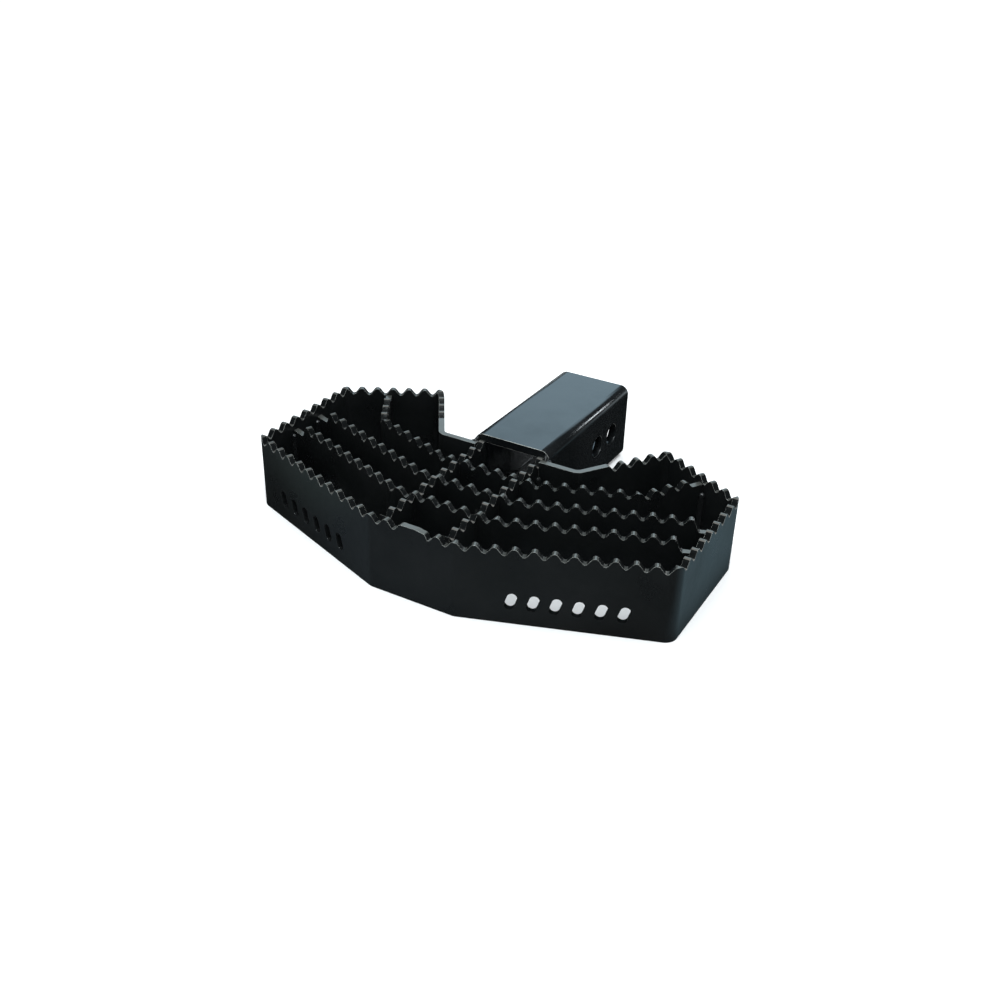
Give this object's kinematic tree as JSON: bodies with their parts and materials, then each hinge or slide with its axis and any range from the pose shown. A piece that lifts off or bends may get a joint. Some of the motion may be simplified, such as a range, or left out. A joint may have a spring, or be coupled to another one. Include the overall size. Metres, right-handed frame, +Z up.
{
  "type": "hitch receiver step",
  "caption": "Rear bumper step for a square receiver: swept, toothed flat-bar tread inside a bent band, welded to a hollow square tube with cross pin holes.",
  "frame": {"origin": "below the middle of the whole step, at the height of the tread plates' and the tube's bottom faces", "axes": "+X to the right when facing along the tube towards the vehicle, +Y along the tube from the tread towards the vehicle, +Z up"},
  "size_m": [0.3436, 0.276, 0.0635],
  "materials": {
    "plates": "satin black powder coat",
    "tube": "semi-gloss black powder coat",
    "welds": "satin black powder coat over weld beads"
  },
  "bodies": {
    "root": {"outer_band": "plates", "slat_front": "plates", "slat_middle": "plates", "slat_rear": "plates", "bar_left": "plates", "bar_right": "plates", "receiver_tube": "tube", "weld_tube_left": "welds", "weld_tube_right": "welds", "weld_bar_tube_left": "welds", "weld_bar_tube_right": "welds", "weld_bar_band_left": "welds", "weld_bar_band_right": "welds", "weld_bar_front_left": "welds", "weld_bar_front_right": "welds", "weld_slat_front_left": "welds", "weld_slat_front_right": "welds", "weld_slat_middle_left": "welds", "weld_slat_middle_right": "welds", "weld_slat_rear_left": "welds", "weld_slat_rear_right": "welds", "tack_slat_front_left": "welds", "tack_slat_front_right": "welds", "tack_slat_middle_left": "welds", "tack_slat_middle_right": "welds", "tack_slat_rear_left": "welds", "tack_slat_rear_right": "welds"}
  },
  "joints": []
}
